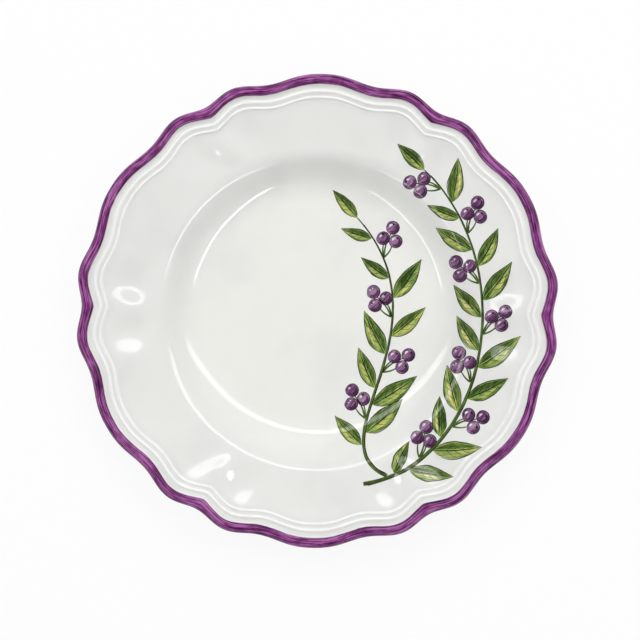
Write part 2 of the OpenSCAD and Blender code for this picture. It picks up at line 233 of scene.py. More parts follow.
class PlateForm:
    """The plate's section and scallop, worked out from its sizes as the solids are."""

    def __init__(self, s):
        self.s = s
        self.pitch = math.tau / s.notches
        self.floor_z = s.foot_h + s.clay_t
        self.edge_z = self.floor_z + s.well_depth
        self.wall = math.atan2(s.well_depth, s.wall_run)
        self.well_r = s.bottom_r + s.wall_run
        self.flat_r = s.bottom_r - s.floor_fillet * math.tan(self.wall / 2)
        self.moulding_r = self.well_r + s.flange_w
        self.groove_r = self.moulding_r + s.ridge_w
        self.cove_r = self.groove_r + s.ridge_w + s.cove_w / 2
        self.lip_in_r = self.groove_r + s.ridge_w + s.cove_w
        self.lip_r = self.lip_in_r - s.lip_t / 2 * math.cos(BAND_TOP)
        self.lip_z = self.edge_z + s.flange_rise + s.lip_crown - s.lip_t / 2
        self.rim_r = self.lip_r + s.lip_t / 2
        # The slope on which the flange leaves the well, and the middle of the rounding between them
        self.slope = math.atan(s.flange_rise * (1 - s.flange_curl) / (self.rim_r - self.well_r))
        edge_run = s.edge_round * math.tan((self.wall - self.slope) / 2)
        self.flange_r = self.well_r + edge_run * math.cos(self.slope)
        self.edge_mid_r = self.flange_r + s.edge_round * math.sin(self.slope)
        edge_end_z = self.edge_z + edge_run * math.sin(self.slope)
        self.edge_mid_z = edge_end_z - s.edge_round * math.cos(self.slope)
        self.back_r = self.flange_r + s.clay_t * math.sin(self.slope)
        self.foot_out_r = self.flat_r - s.foot_inset
        self.foot_in_r = self.foot_out_r - s.foot_w
        # The moulding's crests and hollows, as radius and height over the flange
        self.moulding = (
            (self.moulding_r, 0),
            (self.moulding_r + s.ridge_w / 2, s.ridge_h),
            (self.groove_r, s.ridge_h * GROOVE_SHARE),
            (self.groove_r + s.ridge_w / 2, s.ridge_h),
            (self.cove_r, -s.cove_d),
        )

    def flange_z(self, r):
        curl = self.s.flange_curl
        out, curled = blend(r, self.well_r, self.rim_r), blend(r, self.flange_r, self.rim_r)
        return self.edge_z + self.s.flange_rise * ((1 - curl) * out + curl * curled ** 2)

    def lip_point(self, turn, depth=0):
        """A point of the lip's round section, below its glazed surface by depth."""
        radius = self.s.lip_t / 2 - depth
        return self.lip_r + radius * math.cos(turn), self.lip_z + radius * math.sin(turn)

    def clay_z(self, r):
        """Height of the clay's upper face at radius r of the plain section."""
        s = self.s
        if r <= self.flat_r:
            return self.floor_z
        fillet_end = self.flat_r + s.floor_fillet * math.sin(self.wall)
        if r <= fillet_end:
            return self.floor_z + s.floor_fillet - math.sqrt(s.floor_fillet ** 2 - (r - self.flat_r) ** 2)
        edge_start = self.edge_mid_r - s.edge_round * math.sin(self.wall)
        if r <= edge_start:
            return self.floor_z + (r - s.bottom_r) * math.tan(self.wall)
        if r <= self.flange_r:
            return self.edge_mid_z + math.sqrt(s.edge_round ** 2 - (self.edge_mid_r - r) ** 2)
        if r <= self.moulding_r:
            return self.flange_z(r)
        for (r0, z0), (r1, z1) in zip(self.moulding, self.moulding[1:]):
            if r <= r1:
                up = (r - r0) / (r1 - r0) if z1 > z0 else (r1 - r) / (r1 - r0)
                return self.flange_z(r) + min(z0, z1) + abs(z1 - z0) * eased(up) ** RIDGE_POWER
        return self.cove_z(r)

    def cove_z(self, r):
        """The hollow that leads from the middle of the cove up to the lip."""
        start = self.flange_z(self.cove_r) - self.s.cove_d
        end = self.lip_point(BAND_TOP)[1] - self.s.glaze_t
        run = self.lip_in_r - self.cove_r
        u = blend(r, self.cove_r, self.lip_in_r)
        slope = -run / math.tan(BAND_TOP)
        return start + (3 * u * u - 2 * u ** 3) * (end - start) + (u ** 3 - u * u) * slope

    def face_radii(self):
        """Radii at which the upper face is cut, closer together on its roundings."""
        s = self.s
        radii = even(0, self.flat_r, FLOOR_STEPS)[:-1]
        radii += [self.flat_r + s.floor_fillet * math.sin(turn) for turn in even(0, self.wall, ARC_STEPS)]
        turns = even(self.wall, self.slope, ARC_STEPS)
        edge = [self.edge_mid_r - s.edge_round * math.sin(turn) for turn in turns]
        radii += [(radii[-1] + edge[0]) / 2] + edge
        radii += even(self.flange_r, self.moulding_r, FLANGE_STEPS)[1:]
        stops = [r for r, _ in self.moulding] + [self.lip_in_r]
        for r0, r1 in zip(stops, stops[1:]):
            radii += even(r0, r1, RIDGE_STEPS)[1:]
        return radii

    def back_line(self, drop=0):
        """The underside from the band in to the flat base, lower than the clay by drop."""
        s = self.s
        turns = even(BAND_END, LIP_END, LIP_END_STEPS)
        line = [self.lip_point(turn, s.glaze_t - drop) for turn in turns]
        start = line[-1]
        below = s.clay_t / math.cos(self.slope) + drop
        end = (self.groove_r, self.flange_z(self.groove_r) - below)
        for u in even(0, 1, ARC_STEPS)[1:]:
            line.append((start[0] + (end[0] - start[0]) * u, start[1] + (end[1] - start[1]) * eased(u)))
        for r in even(self.groove_r, self.back_r, BACK_STEPS)[1:-1]:
            line.append((r, self.flange_z(r) - below))
        radius = s.edge_round - s.clay_t
        for turn in even(self.slope, self.wall, ARC_STEPS):
            line.append((
                self.edge_mid_r - radius * math.sin(turn), self.edge_mid_z + radius * math.cos(turn) - drop
            ))
        radius = s.floor_fillet + s.clay_t
        for turn in even(self.wall, 0, ARC_STEPS):
            line.append((
                self.flat_r + radius * math.sin(turn),
                self.floor_z + s.floor_fillet - radius * math.cos(turn) - drop,
            ))
        return line

    def from_notch(self, a):
        """How far round from its nearest notch an angle lies, from 0 there to 1 in mid lobe."""
        return abs(a - self.pitch * round(a / self.pitch)) * 2 / self.pitch

    def lobe(self, a):
        return -math.cos(LOBE_WAVES * math.pi * (1 - (1 - self.from_notch(a)) ** self.s.crowding))

    def scalloped(self, r, z, a):
        """Where a point of the plain round section goes at angle a."""
        if r <= self.flange_r:
            return r, z
        s = self.s
        lobe, away = self.lobe(a), self.from_notch(a)
        run = blend(r, self.flange_r, self.moulding_r)
        full = math.sin(math.pi / 2 * run) ** s.scallop_fade
        depth = full * (1 - blend(r, self.lip_in_r, self.rim_r))
        fold = math.exp(-(away * self.pitch / 2 / s.crease_angle) ** CREASE_POWER)
        return (
            r + full * (s.scallop * lobe + s.oval * math.cos(2 * a)) - s.crease * depth * fold,
            z - s.swell * math.sin(math.pi * run) ** SWELL_POWER * (1 - away) * lobe,
        )

    def face_z(self, p):
        """Height of the glazed face at a point in plan."""
        r, a = math.hypot(p.x, p.y), math.atan2(p.y, p.x)
        plain = r
        for _ in range(INVERSE_ROUNDS):
            plain = r - (self.scalloped(plain, 0, a)[0] - plain)
        return self.scalloped(plain, self.clay_z(plain) + self.s.glaze_t, a)[1]

    def band_edge(self, r, z):
        """How far a point of the plain section lies outside the band, less than 0 within it."""
        dr, dz = r - self.lip_r, z - self.lip_z
        turn = math.atan2(dz, dr)
        if LIP_END <= turn <= BAND_TOP:
            return max(turn - BAND_TOP, BAND_END - turn) * self.s.lip_t / 2
        return self.lip_in_r - r if dz > 0 else self.lip_r - r

    def pool(self, r):
        """How deep the glaze has pooled on the face at radius r, with painted shade in the same hollows,
        from 0 to 1.
        """
        hollows = (
            (self.cove_r, COVE_POOL_SHADE), (self.groove_r, GROOVE_POOL_SHADE), (self.moulding_r, MOULDING_POOL_SHADE),
            (self.well_r - WALL_POOL_SHADE_INSET, WALL_POOL_SHADE),
        )
        return min(sum(depth * near(r, at, width) for at, (width, depth) in hollows), 1)

    def painted_floor_light(self, r):
        """Painted light: how much lighter the glaze is made at radius r, from 0 on the flange to 1 on the
        floor.
        """
        return 1 - eased(blend(r, self.flat_r, self.flange_r))

    def crest_highlight(self, r):
        """How near radius r lies to one of the moulding's crests, from 0 to 1, where a highlight is
        painted.
        """
        return sum(near(r, at, CREST_HIGHLIGHT_WIDTH) for at, _ in self.moulding[1::2])


def form():
    """The plate's form at the sizes that the panel shows."""
    return PlateForm(bpy.context.scene.plate_sizes)


def meshed(bm, name):
    """A mesh of all that a bmesh holds, which is then let go."""
    mesh = bpy.data.meshes.new(name)
    bm.to_mesh(mesh)
    bm.free()
    return mesh


def placed(name, data):
    """A new object in the scene, made of a mesh, a lamp or a camera."""
    thing = bpy.data.objects.new(name, data)
    bpy.context.collection.objects.link(thing)
    return thing


def finish_piece(bm, name, material, slot, *nodes):
    """Turns a bmesh into a piece that rides on the plate and stands for its nodes."""
    bmesh.ops.remove_doubles(bm, verts=bm.verts, dist=WELD)
    bmesh.ops.recalc_face_normals(bm, faces=bm.faces)
    for face in bm.faces:
        face.smooth = True
    mesh = meshed(bm, name)
    mesh.set_sharp_from_angle(angle=SHARP_ANGLE)
    mesh.materials.append(material)
    piece = placed(name, mesh)
    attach(piece, "root")
    if nodes:
        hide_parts(*nodes)


def spun(section, closed=False, scallop=True):
    """Spins a section of (radius, height) points from notch to notch, repeats it and scallops it."""
    plate = form()
    bm = bmesh.new()
    ring = bm.verts.layers.float_vector.new("ring")
    glaze = bm.verts.layers.float_vector.new("glaze")
    verts = [bm.verts.new((r, 0, z)) for r, z in section]
    edges = [bm.edges.new(pair) for pair in zip(verts, verts[1:])]
    if closed:
        edges.append(bm.edges.new((verts[-1], verts[0])))
    axis = {"cent": (0, 0, 0), "axis": (0, 0, 1)}
    bmesh.ops.spin(bm, geom=verts + edges, angle=plate.pitch, steps=PITCH_STEPS, **axis)
    pitch = bm.verts[:] + bm.edges[:] + bm.faces[:]
    more = plate.s.notches - 1
    bmesh.ops.spin(bm, geom=pitch, angle=plate.pitch * more, steps=more, use_duplicate=True, **axis)
    bmesh.ops.remove_doubles(bm, verts=bm.verts, dist=WELD)
    for v in bm.verts:
        r, z, a = math.hypot(v.co.x, v.co.y), v.co.z, math.atan2(v.co.y, v.co.x)
        v[ring] = (math.cos(a), math.sin(a), plate.band_edge(r, z))
        behind = r > plate.flange_r and z < plate.flange_z(r) - plate.s.clay_t / 2
        # The glaze layer carries the pools with their painted shade, the painted light on the floor and the
        # painted highlights on the crests
        v[glaze] = (0, 0, 0) if behind else (plate.pool(r), plate.painted_floor_light(r), plate.crest_highlight(r))
        if scallop:
            r, z = plate.scalloped(r, z, a)
        v.co = (r * math.cos(a), r * math.sin(a), z)
    return bm


# Shine of the glaze, the height of its waves and the share of the fine ones
GLAZE_IOR = 1.6
GLAZE_GLOSS = 0.06
GLAZE_WAVE = 0.12 * MM
FINE_SHARE = 0.06
# Marks in the glaze and in the clay, as waves to a metre
BROAD_WAVES = (42, 42, 42)
FINE_WAVES = (260, 260, 260)
GLAZE_CLOUDS = (18, 18, 18)
CLAY_CLOUDS = (60, 60, 60)
CLAY_GRAINS = (900, 900, 900)
# Marks of the band's brush, as waves to a radian round the rim and to a metre across it
BAND_STREAKS = (7, 7, 1500)
BAND_BLOTS = (24, 24, 420)
BAND_BENDS = (7, 7, 0)
STREAK_SHARE = 0.75
# How far in from the band's edge its paint gathered, and how much
GATHER_WIDTH = 1.4 * MM
GATHERED = 0.08
# How far the band's painted edge wanders, and how softly it ends
BAND_WANDER = 1.3 * MM
BAND_SOFT = 0.22 * MM
# The band sank into the glaze, so it shines less than the white
WHITE_SHINE = 0.5
BAND_SHINE = 0.25
# How much of the pooled colour, which is partly painted shade, a pool takes and a cloud in the glaze, and
# the noise that makes a cloud
POOL_SHADE_SHARE = 0.75
CLOUD_SHARE = 0.3
CLOUD_RANGE = (0.45, 0.75)
# Bare clay: its roughness, and the share and the height of its grains
CLAY_ROUGH = 0.85
GRAIN_SHARE = 0.7
GRAIN_HEIGHT = 0.03 * MM
# Height down to which the foot is glazed, how that line bends and wanders, and how softly it ends
FOOT_GLAZE = 1.5 * MM
FOOT_BENDS = (90, 90, 0)
FOOT_WANDER = 1.2 * MM
FOOT_SOFT = 0.12 * MM
# Marks of a stroke's hairs and patches, as waves to a millimetre, and how far they swing its tone
BRUSH_HAIRS = (0.09, 1.5, 1)
HAIR_SWING = 1.1
BRUSH_PATCHES = (0.16, 0.3, 1)
PATCH_SWING = 0.9
# Where the paint gathered at a stroke's edge starts, as a share of its half width
STROKE_EDGE = 0.7


def linear(srgb):
    """A screen colour as the linear RGBA that a shader takes."""
    parts = [c / 12.92 if c <= 0.04045 else ((c + 0.055) / 1.055) ** 2.4 for c in srgb]
    return (*parts, 1)


def grey(value):
    """A plain grey as linear RGBA."""
    return (value, value, value, 1)


class Nodes:
    """The nodes of a world or a material under construction, with short ways to add the usual ones."""

    def __init__(self, owner):
        owner.use_nodes = True
        self.nodes, self.links = owner.node_tree.nodes, owner.node_tree.links

    def node(self, kind, inputs=None, **settings):
        made = self.nodes.new(kind)
        for key, value in settings.items():
            setattr(made, key, value)
        self.fill(made, inputs or {})
        return made

    def fill(self, node, inputs):
        """Sets inputs of a node, each to a value or to what another node gives."""
        for key, value in inputs.items():
            if isinstance(value, bpy.types.NodeSocket):
                self.links.new(value, node.inputs[key])
            else:
                node.inputs[key].default_value = value

    def math(self, operation, *values):
        return self.node("ShaderNodeMath", dict(enumerate(values)), operation=operation).outputs[0]

    def parts(self, vector):
        return self.node("ShaderNodeSeparateXYZ", {"Vector": vector}).outputs

    def shown_apart(self, lighting, shown, output):
        """Shows the camera, mirrors and glass one shader, and lights the plate by another."""
        rays = self.node("ShaderNodeLightPath").outputs
        seen = self.math("MAXIMUM", rays["Is Camera Ray"], rays["Is Glossy Ray"])
        seen = self.math("MAXIMUM", seen, rays["Is Transmission Ray"])
        mix = self.node("ShaderNodeMixShader", {0: seen, 1: lighting.outputs[0], 2: shown.outputs[0]})
        self.fill(self.nodes[output], {0: mix.outputs[0]})


class Shader(Nodes):
    """The nodes of a material, with the marks and the shine that the coats share."""

    def __init__(self, name):
        self.material = bpy.data.materials.new(name)
        super().__init__(self.material)
        self.surface = self.nodes["Principled BSDF"]

    def attribute(self, name):
        return self.node("ShaderNodeAttribute", attribute_name=name).outputs["Vector"]

    def object_coords(self):
        return self.node("ShaderNodeTexCoord").outputs["Object"]

    def noise(self, vector, stretch, detail=3, roughness=0.55):
        scaled = self.node("ShaderNodeMapping", {"Vector": vector, "Scale": stretch})
        made = self.node(
            "ShaderNodeTexNoise",
            {"Vector": scaled.outputs[0], "Scale": 1, "Detail": detail, "Roughness": roughness},
        )
        return made.outputs["Fac"]

    def rise(self, value, low, high, least=0, most=1):
        made = self.node(
            "ShaderNodeMapRange",
            {"Value": value, "From Min": low, "From Max": high, "To Min": least, "To Max": most},
            interpolation_type="SMOOTHSTEP",
        )
        return made.outputs["Result"]

    def ramp(self, value, stops):
        made = self.node("ShaderNodeValToRGB", {"Fac": value})
        elements = made.color_ramp.elements
        while len(elements) < len(stops):
            elements.new(0.5)
        for element, (place, tint) in zip(elements, stops):
            element.position = place
            element.color = linear(tint)
        return made.outputs["Color"]

    def mix(self, amount, first, second):
        """Two colours mixed. The node's inputs 6 and 7 and its output 2 are those for colours."""
        return self.node("ShaderNodeMix", {0: amount, 6: first, 7: second}, data_type="RGBA").outputs[2]

    def bump(self, height, distance):
        made = self.node("ShaderNodeBump", {"Height": height, "Strength": 1, "Distance": distance})
        self.fill(self.surface, {"Normal": made.outputs["Normal"]})

    def weighted(self, first, second, first_share):
        """Two values mixed, the first by its share and the second by the rest."""
        rest = self.math("MULTIPLY", second, 1 - first_share)
        return self.math("ADD", self.math("MULTIPLY", first, first_share), rest)

    def swing(self, value, reach):
        """A noise from 0 to 1 turned into a swing about 0."""
        return self.math("MULTIPLY", self.math("SUBTRACT", value, 0.5), reach)

    def glazed(self):
        """The shine and the slight waves of a hand-dipped glaze, the same under the paint and beside it."""
        self.fill(self.surface, {"Roughness": GLAZE_GLOSS, "IOR": GLAZE_IOR})
        coords = self.object_coords()
        broad = self.noise(coords, BROAD_WAVES, detail=2, roughness=0.45)
        fine = self.noise(coords, FINE_WAVES, detail=2, roughness=0.5)
        self.bump(self.math("ADD", broad, self.math("MULTIPLY", fine, FINE_SHARE)), GLAZE_WAVE)


def glaze_material(name):
    """White tin glaze with the purple band brushed round the lip, with painted shade in its hollows,
    painted light on its floor and painted highlights on its crests.
    """
    c = bpy.context.scene.plate_colours
    sh = Shader(name)
    ring = sh.attribute("ring")
    past_edge = sh.parts(ring)[2]
    pool, painted_floor_light, crest_highlight = sh.parts(sh.attribute("glaze"))
    cloud = sh.noise(sh.object_coords(), GLAZE_CLOUDS)
    clouds = sh.rise(cloud, *CLOUD_RANGE, 0, CLOUD_SHARE)
    # Pools darken the white, partly as painted shade; clouds vary it at random
    pooled_and_shaded = sh.math("ADD", sh.math("MULTIPLY", pool, POOL_SHADE_SHARE), clouds)
    # The floor's glaze is painted lighter than the flange's, as painted light
    plain = sh.mix(painted_floor_light, linear(c.glaze), linear(c.glaze_floor_lit))
    # The moulding's crests get a painted highlight
    white = sh.mix(crest_highlight, sh.mix(pooled_and_shaded, plain, linear(c.glaze_pool_and_shade)), linear(c.glaze_crest_highlight))

    # The brush ran along the lip, so its streaks are long round the rim and narrow across it
    streak = sh.noise(ring, BAND_STREAKS, detail=2, roughness=0.5)
    load = sh.weighted(streak, sh.noise(ring, BAND_BLOTS, detail=1), STREAK_SHARE)
    gathered = sh.rise(past_edge, -GATHER_WIDTH, 0, 0, GATHERED)
    purple = sh.ramp(sh.math("SUBTRACT", load, gathered), (
        (0.37, c.band_dark), (0.46, c.band_mid), (0.5, c.band_mid), (0.59, c.band_light)
    ))
    wander = sh.swing(sh.noise(ring, BAND_BENDS, roughness=0.5), BAND_WANDER)
    edge = sh.math("SUBTRACT", past_edge, wander)
    painted = sh.rise(edge, -BAND_SOFT, BAND_SOFT, 1, 0)
    sh.fill(sh.surface, {
        "Base Color": sh.mix(painted, white, purple),
        "Specular IOR Level": sh.rise(painted, 0, 1, WHITE_SHINE, BAND_SHINE),
    })
    sh.glazed()
    return sh.material


def clay_material(name, glazed_above=None):
    """Fired clay with darker grains, and glazed above a height where one is given."""
    c = bpy.context.scene.plate_colours
    sh = Shader(name)
    coords = sh.object_coords()
    grain = sh.noise(coords, CLAY_GRAINS, detail=4, roughness=0.7)
    load = sh.weighted(grain, sh.noise(coords, CLAY_CLOUDS, detail=2), GRAIN_SHARE)
    clay = sh.ramp(load, ((0.36, c.clay_speck), (0.48, c.clay), (0.8, c.clay)))
    if glazed_above is None:
        sh.fill(sh.surface, {"Base Color": clay, "Roughness": CLAY_ROUGH})
        sh.bump(grain, GRAIN_HEIGHT)
        return sh.material
    line = sh.math("ADD", glazed_above, sh.swing(sh.noise(coords, FOOT_BENDS), FOOT_WANDER))
    above = sh.math("SUBTRACT", sh.parts(coords)[2], line)
    coat = sh.rise(above, -FOOT_SOFT, FOOT_SOFT)
    sh.fill(sh.surface, {
        "Base Color": sh.mix(coat, clay, linear(c.glaze)),
        "Roughness": sh.rise(coat, 0, 1, CLAY_ROUGH, GLAZE_GLOSS),
        "IOR": GLAZE_IOR,
    })
    sh.bump(sh.mix(coat, grain, grey(0.5)), GRAIN_HEIGHT)
    return sh.material


def paint_material(name, stops, streaks=1.0, edge=0.55):
    """A glossy brush colour: streaks along the stroke, and paint gathered at its edges."""
    sh = Shader(name)
    brush = sh.attribute("brush")
    _, across, tone = sh.parts(sh.attribute("touch"))
    hairs = sh.swing(sh.noise(brush, BRUSH_HAIRS, roughness=0.6), HAIR_SWING * streaks)
    patches = sh.swing(sh.noise(brush, BRUSH_PATCHES, detail=2), PATCH_SWING)
    wash = sh.ramp(sh.math("ADD", tone, sh.math("ADD", hairs, patches)), stops)
    rim = sh.rise(sh.math("ABSOLUTE", across), STROKE_EDGE, 1, 0, edge)
    sh.fill(sh.surface, {"Base Color": sh.mix(rim, wash, linear(stops[0][1]))})
    sh.glazed()
    return sh.material


# Steps in which a stroke's length is measured, and those by which its heading and a stem's are taken
RUN_STEPS = 8
HEADING_STEP = 0.01
STEM_STEP = 0.001
# From one stroke's brush marks to the next one's, so that no two are alike
STROKE_SHIFT = 7.3


class Paint:
    """Brush strokes of one colour, each a thin closed layer that follows the glazed face."""

    def __init__(self, lift):
        self.plate = form()
        self.lift = lift
        self.bm = self.sheet()[0]
        self.count = 0

    @staticmethod
    def sheet():
        """An empty bmesh with the two layers that a stroke's colour reads."""
        bm = bmesh.new()
        return bm, bm.verts.layers.float_vector.new("brush"), bm.verts.layers.float_vector.new("touch")

    def stroke(self, path, half, tone, cells):
        """Lays a stroke along path(u), with its half width from half(u), for u from 0 to 1."""
        self.count += 1
        bm, brush, touch = self.sheet()
        bmesh.ops.create_grid(bm, x_segments=cells[0], y_segments=cells[1], size=1)
        stations = [path(u) for u in even(0, 1, RUN_STEPS)]
        run = sum((there - here).length for here, there in zip(stations, stations[1:]))
        for v in bm.verts:
            u, across = (v.co.x + 1) / 2, v.co.y
            ahead = (path(min(u + HEADING_STEP, 1)) - path(max(u - HEADING_STEP, 0))).normalized()
            reach = half(u)
            p = path(u) + Vector((-ahead.y, ahead.x)) * reach * across
            v[brush] = (u * run / MM, reach * across / MM, self.count * STROKE_SHIFT)
            v[touch] = (u, across, tone)
            v.co = (p.x, p.y, self.plate.face_z(p))
        raised = bmesh.ops.extrude_face_region(bm, geom=bm.faces[:], use_keep_orig=True)
        tops = [e for e in raised["geom"] if isinstance(e, bmesh.types.BMVert)]
        bmesh.ops.translate(bm, verts=tops, vec=(0, 0, self.lift))
        mesh = meshed(bm, "stroke")
        self.bm.from_mesh(mesh)
        bpy.data.meshes.remove(mesh)

    def dry(self, name, material, slot, *nodes):
        finish_piece(self.bm, name, material, slot, *nodes)


# The spray's guide points as shares of the flange's and the bottom's radius, with angles in degrees
OUTER_GUIDE = ((0.98, -74), (1.26, -41), (1.165, 13), (0.97, 54))
INNER_GUIDE = ((1.05, -92), (1.11, -6), (0.81, 68))
INNER_ROOT = (0.98, -66)
# Joints of each stem, and the shares of its length at which the first and the last lie
OUTER_JOINTS, OUTER_FIRST = 21, 0.09
INNER_JOINTS, INNER_FIRST = 13, 0.21
LAST_JOINT = 0.94
# One joint in so many bears berries and no leaf
BERRY_EVERY = 3
# The most marks of one kind that a stem is numbered for
STEM_MARKS = 40
# Shares of its width that a stem loses by its tip, and by which it wavers
STEM_TAPER = 0.7
STEM_WAVER = 0.16
# A stalk's bow as a share of its length, and its width at the root and its taper in stalk widths
STALK_BOW = 0.07
STALK_ROOT, STALK_TAPER = 1.25, 0.5
# Growth of the leaves: the least, what mid stem adds, and how it varies from one leaf to the next
LEAF_LEAST, LEAF_SWELL, LEAF_VARY = 0.72, 0.3, 0.1
VARY_TURN = math.radians(137)
# Growth on the stem's hollow side and at its tip
HOLLOW_SIDE = 0.88
TIP_GROWTH = 0.75
# Power that brings a leaf's widest place nearer its root, and the share by which its edge wavers
LEAF_BELLY = 0.75
LEAF_WAVER = 0.07
# Tells one leaf's wavering from another's, by the place of its root
LEAF_KEY = Vector((90, 70))
# Keeps the wavering off the noise's whole numbers, where it is always 0
WOBBLE_SHIFT = Vector((0.37, 0.71, 0.13))
# Touches on a leaf: start and run along it, place across it, width, its waver, and the power that blunts it
LEAF_SHADE = (0.05, 0.87, 0.5, 0.34, 0.1, 0.4)
LEAF_WARMTH = (0.14, 0.56, -0.42, 0.24, 0, 0.6)
# Share of its length by which a touch stops short of a point
BLUNT_END = 0.02
# Where the side veins leave the rib and how far they run on, as shares of the leaf's length
LEAF_VEINS = (0.26, 0.42, 0.58)
VEIN_RUN = 0.16
# How near to the leaf's edge they come
VEIN_REACH = 0.72
# A berry's stalk as its length in berry diameters and its angle from the stem
CLUSTER = ((1.5, 20), (1.55, 58), (2.4, 39))
# How far a berry strays from its size and from round
BERRY_WAVER = 0.05
# Touches on a berry: place and half width in berry radii, with the start and the sweep in degrees between
BERRY_SHADE = (0.68, -140, 190, 0.25)
BERRY_LIGHT = (0.5, 175, -85, 0.16)
# The open outline of a berry and the turns of the short lines at its end, in degrees
BERRY_SWEEP = 285
BERRY_CROWN = (-32, 0, 32)
# Where those lines start and how long they are, in berry radii
CROWN_START, CROWN_LENGTH = 0.38, 0.42


def polar(r, turn):
    return Vector((r * math.cos(turn), r * math.sin(turn)))


def berry_touch(kind, middle, radius, tip):
    """The path and the half width of a curved stroke on a berry."""
    reach, start, sweep, width = kind
    return (
        lambda u: middle + polar(radius * reach, math.radians(start + sweep * u)),
        lambda u: max(radius * width * math.sin(math.pi * u), tip),
    )


def wobble(*key):
    """A smooth number between about -1 and 1 that is the same on every run."""
    return noise.noise(Vector((*key, 0, 0)[:3]) + WOBBLE_SHIFT)


def about(mean, swing, *key):
    """A number that wavers round its mean, by its swing to either side."""
    return mean + swing * wobble(*key)


class Branch:
    """One stem of the spray, as a cubic curve through its guide points."""

    def __init__(self, guide, joints, first, spray):
        self.guide, self.joints, self.first, self.s = guide, joints, first, spray

    def at(self, t):
        a, b, c, d = self.guide
        return (1 - t) ** 3 * a + 3 * t * (1 - t) ** 2 * b + 3 * t * t * (1 - t) * c + t ** 3 * d

    def way(self, t):
        ahead = self.at(t + STEM_STEP) - self.at(t - STEM_STEP)
        return math.atan2(ahead.y, ahead.x)

    def half(self, t):
        return max(self.s.stem_w / 2 * (1 - STEM_TAPER * t), self.s.brush_tip)

    def joint(self, i):
        t = self.first + (LAST_JOINT - self.first) * i / (self.joints - 1)
        side = 1 if i % 2 == 0 else -1
        way = self.way(t)
        root = self.at(t) + polar(self.half(t) + self.s.brush_tip, way + math.pi / 2 * side)
        growth = (LEAF_LEAST + LEAF_SWELL * math.sin(math.pi * t)) * (
            1 + LEAF_VARY * math.sin(VARY_TURN * i))
        return root, way, side, growth * (HOLLOW_SIDE if side > 0 else 1)

    def leaves(self):
        found = [Leaf(self.s, *self.joint(i)) for i in range(self.joints) if (i + 1) % BERRY_EVERY]
        way = self.way(1)
        return found + [Leaf(self.s, self.at(1) + polar(self.s.brush_tip, way), way, 0, TIP_GROWTH)]

    def berries(self):
        """The middle of each berry, with the root of its stalk."""
        found = []
        for i in range(BERRY_EVERY - 1, self.joints, BERRY_EVERY):
            root, way, side, _ = self.joint(i)
            for reach, turn in CLUSTER:
                toward = polar(reach * self.s.berry_d, way + side * math.radians(turn))
                found.append((root + toward, root))
        return found


class Leaf:
    """One leaf: its middle line and its half width, from its root at 0 to its tip at 1."""

    def __init__(self, spray, root, way, side, growth):
        self.s, self.root, self.way, self.side, self.growth = spray, root, way, side, growth
        self.key = root.dot(LEAF_KEY)

    def turn(self, u):
        return self.way + self.side * (self.s.leaf_spread - self.s.leaf_curl * u / 2)

    def half(self, u):
        shape = self.s.leaf_w / 2 * math.sin(math.pi * u ** LEAF_BELLY) * self.growth
        return max(shape * about(1, LEAF_WAVER, u * 5, self.key), self.s.brush_tip)

    def at(self, u, across=0):
        turn = self.turn(u)
        mid = self.root + polar(self.s.leaf_l * self.growth * u, turn)
        return mid + polar(self.half(u) * across, turn + math.pi / 2)

    def touch(self, kind, key=0):
        """The path and the half width of a smaller stroke on one half of the leaf."""
        start, run, across, width, waver, blunt = kind
        lower = 1 if self.side < 0 else -1

        def half(u):
            full = self.half(start + run * u) * about(width, waver, u * 6, key)
            ends = math.sin(math.pi * min(u + BLUNT_END, 1 - BLUNT_END)) ** blunt
            return max(full * ends, self.s.brush_tip)

        return lambda u: self.at(start + run * u, across * lower), half


def branches():
    """The outer and the inner stem of the spray."""
    plate, spray = form(), bpy.context.scene.spray_sizes
    mid_r = (plate.well_r + plate.moulding_r) / 2
    bottom_r = plate.s.bottom_r

    def guide(points, r):
        return [polar(reach * r, math.radians(turn)) for reach, turn in points]

    outer = guide(OUTER_GUIDE, mid_r)
    inner = guide((INNER_ROOT,), mid_r) + guide(INNER_GUIDE, bottom_r)
    return (
        Branch(outer, OUTER_JOINTS, OUTER_FIRST, spray),
        Branch(inner, INNER_JOINTS, INNER_FIRST, spray),
    )


class PLATE_OT_clay(bpy.types.Operator):
    """Make the clay dish under the coats"""

    bl_idname = "plate.clay"
    bl_label = "Clay dish"

    def execute(self, context):
        plate = form()
        s = plate.s
        face = [(r, plate.clay_z(r)) for r in plate.face_radii()[:-1]]
        turns = even(BAND_TOP, BAND_END, CLAY_LIP_STEPS)[:-1]
        lip = [plate.lip_point(turn, s.glaze_t) for turn in turns]
        section = face + lip + plate.back_line() + [(0, s.foot_h)]
        finish_piece(spun(section), "dish", clay_material("fired_clay"), "clay", "clay_body")
        return {"FINISHED"}


class PLATE_OT_foot(bpy.types.Operator):
    """Make the turned foot ring, glazed on its sides and bare where it stands"""

    bl_idname = "plate.foot"
    bl_label = "Foot ring"

    def execute(self, context):
        plate = form()
        s = plate.s
        inner, outer = plate.foot_in_r, plate.foot_out_r
        section = [(inner, s.foot_h)]
        for side, r in ((1, inner), (-1, outer)):
            for turn in even(0, math.pi / 2, CHAMFER_STEPS)[::side]:
                lean = s.foot_lean + s.foot_chamfer * (1 - math.cos(turn))
                section.append((r + side * lean, s.foot_chamfer * (1 - math.sin(turn))))
        section.append((outer, s.foot_h))
        material = clay_material("foot_clay", glazed_above=FOOT_GLAZE)
        finish_piece(spun(section, closed=True, scallop=False), "foot", material, "clay", "foot_ring")
        return {"FINISHED"}


